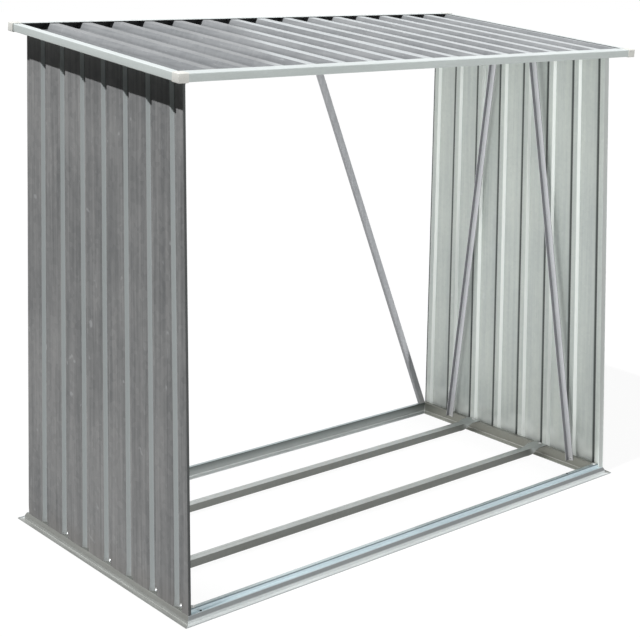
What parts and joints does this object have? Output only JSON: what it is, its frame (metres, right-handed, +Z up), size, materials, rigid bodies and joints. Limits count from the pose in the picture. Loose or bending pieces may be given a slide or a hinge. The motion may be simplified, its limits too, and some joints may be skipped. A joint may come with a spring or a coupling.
{
  "type": "log store",
  "caption": "Open-fronted, open-backed log store of galvanised steel: corrugated side walls and single-pitch roof on a ring of rolled sills with floor rails and bracing.",
  "frame": {"origin": "middle of the store's footprint, on the ground that the sills rest on", "axes": "+X to the right along the width, seen from the open front; +Y to the back, where the roof is higher; +Z up"},
  "size_m": [1.72, 0.9566, 1.509],
  "materials": {
    "sill": "galvanised, satin",
    "floor_rail": "galvanised, satin",
    "wall_sheet": "galvanised, rolled",
    "top_rail": "galvanised, satin",
    "brace": "galvanised, satin",
    "roof_sheet": "galvanised, rolled",
    "roof_trim": "galvanised, satin",
    "corner_cap": "moulded off-white"
  },
  "bodies": {
    "root": {"front_sill": "sill", "back_sill": "sill", "left_sill": "sill", "right_sill": "sill", "front_floor_rail": "floor_rail", "rear_floor_rail": "floor_rail", "left_wall": "wall_sheet", "right_wall": "wall_sheet", "left_top_rail": "top_rail", "right_top_rail": "top_rail", "left_wall_front_brace": "brace", "left_wall_rear_brace": "brace", "right_wall_front_brace": "brace", "right_wall_rear_brace": "brace", "back_left_brace": "brace", "back_right_brace": "brace", "roof_sheet_left": "roof_sheet", "roof_sheet_right": "roof_sheet", "front_roof_trim": "roof_trim", "back_roof_trim": "roof_trim", "left_roof_trim": "roof_trim", "right_roof_trim": "roof_trim", "front_left_cap": "corner_cap", "front_right_cap": "corner_cap", "back_left_cap": "corner_cap", "back_right_cap": "corner_cap"}
  },
  "joints": []
}
